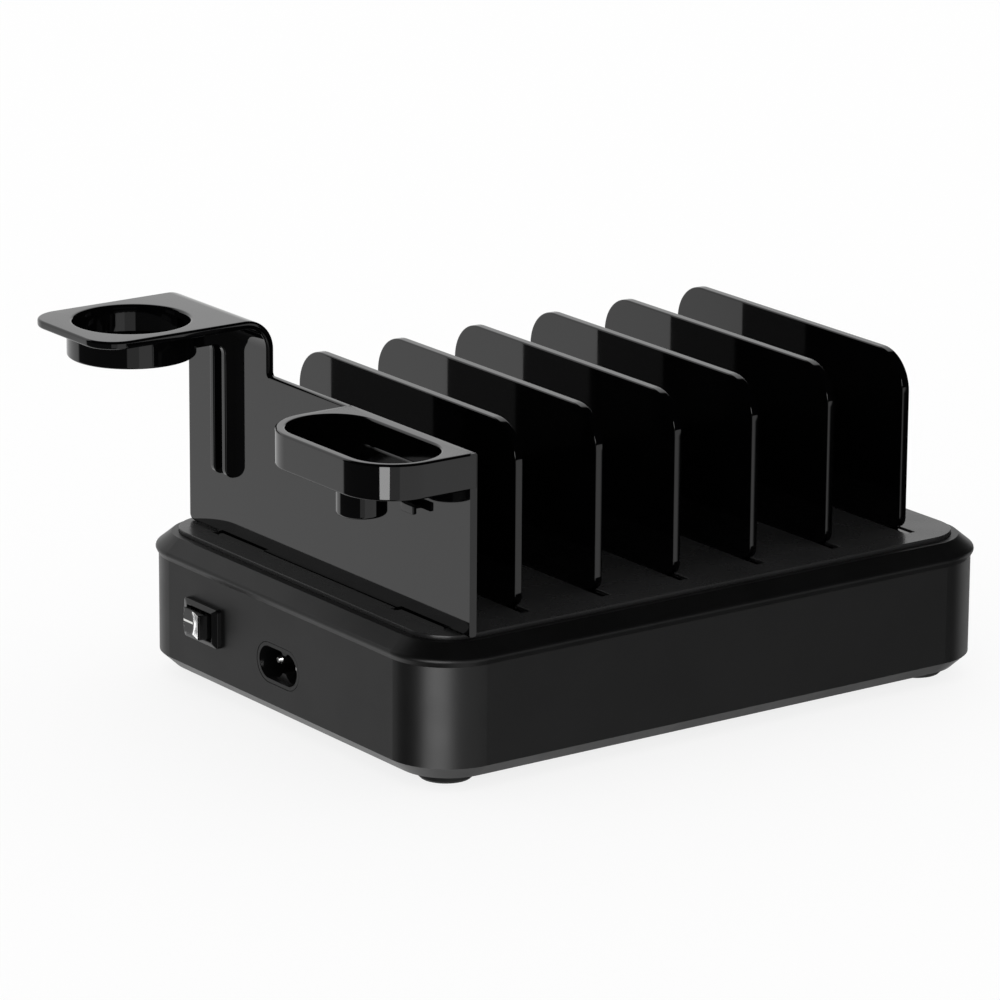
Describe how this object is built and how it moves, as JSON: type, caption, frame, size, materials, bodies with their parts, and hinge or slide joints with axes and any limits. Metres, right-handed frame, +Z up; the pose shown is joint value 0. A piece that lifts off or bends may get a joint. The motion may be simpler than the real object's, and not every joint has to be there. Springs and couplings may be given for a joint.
{
  "type": "charging station organizer",
  "caption": "Low charging base with upright dividers that lift out, a holder with a watch arm and an earbud pocket, a rocker switch and a mains inlet.",
  "frame": {"origin": "on the table under the middle of the whole part, with the arm counted in", "axes": "+Z up, +X towards the side with the switch and the mains inlet, -Y towards the side with the outlets"},
  "size_m": [0.2072, 0.131, 0.0966],
  "materials": {
    "case_plastic": "satin black moulded plastic with a very fine spark texture",
    "gloss_plastic": "polished black plastic that mirrors what is near it",
    "foot_rubber": "soft black rubber",
    "screw_steel": "zinc plated steel",
    "contact_metal": "bright nickel plating",
    "switch_plastic": "black switch plastic",
    "board": "green glass fibre board",
    "ferrite": "dark grey ferrite",
    "tape": "yellow polyester tape",
    "copper": "enamelled copper wire",
    "capacitor_sleeve": "dark shrunk sleeve",
    "sink_aluminium": "plain extruded aluminium",
    "wire_black": "black wire insulation",
    "wire_red": "red wire insulation"
  },
  "bodies": {
    "base": {"bottom_case": "case_plastic", "top_cover": "case_plastic", "top_plate": "gloss_plastic", "foot_1": "foot_rubber", "foot_2": "foot_rubber", "foot_3": "foot_rubber", "foot_4": "foot_rubber", "case_screws": "screw_steel", "switch_frame": "switch_plastic", "switch_terminals": "contact_metal", "inlet_body": "switch_plastic", "inlet_pins": "contact_metal", "outlet_shell_1": "contact_metal", "outlet_shell_2": "contact_metal", "outlet_shell_3": "contact_metal", "outlet_shell_4": "contact_metal", "outlet_shell_5": "contact_metal", "outlet_shell_6": "contact_metal", "outlet_tongues": "case_plastic", "outlet_board": "board", "outlet_board_screws": "screw_steel", "power_board": "board", "power_board_screws": "screw_steel", "transformer_core": "ferrite", "transformer_winding": "tape", "mains_capacitors": "capacitor_sleeve", "output_capacitors": "capacitor_sleeve", "line_choke": "copper", "suppressor": "tape", "heat_sinks": "sink_aluminium", "power_transistors": "case_plastic", "mains_wires": "wire_black", "board_wires": "wire_red"},
    "divider_1": {"divider_1": "gloss_plastic"},
    "divider_2": {"divider_2": "gloss_plastic"},
    "divider_3": {"divider_3": "gloss_plastic"},
    "divider_4": {"divider_4": "gloss_plastic"},
    "divider_5": {"divider_5": "gloss_plastic"},
    "divider_6": {"divider_6": "gloss_plastic"},
    "holder": {"accessory_holder": "gloss_plastic"},
    "rocker": {"switch_rocker": "switch_plastic"}
  },
  "joints": [
    {"name": "divider_1_lift", "type": "slide", "parent": "base", "child": "divider_1", "axis": [0, 0, 1], "range_m": [0, 0.06]},
    {"name": "divider_2_lift", "type": "slide", "parent": "base", "child": "divider_2", "axis": [0, 0, 1], "range_m": [0, 0.06]},
    {"name": "divider_3_lift", "type": "slide", "parent": "base", "child": "divider_3", "axis": [0, 0, 1], "range_m": [0, 0.06]},
    {"name": "divider_4_lift", "type": "slide", "parent": "base", "child": "divider_4", "axis": [0, 0, 1], "range_m": [0, 0.06]},
    {"name": "divider_5_lift", "type": "slide", "parent": "base", "child": "divider_5", "axis": [0, 0, 1], "range_m": [0, 0.06]},
    {"name": "divider_6_lift", "type": "slide", "parent": "base", "child": "divider_6", "axis": [0, 0, 1], "range_m": [0, 0.06]},
    {"name": "holder_lift", "type": "slide", "parent": "base", "child": "holder", "axis": [0, 0, 1], "range_m": [0, 0.06]},
    {"name": "rocker_tilt", "type": "hinge", "parent": "base", "child": "rocker", "pos_m": [0.06818, -0.0325, 0.0191], "axis": [0, 0, 1], "range_deg": [0, 22]}
  ]
}
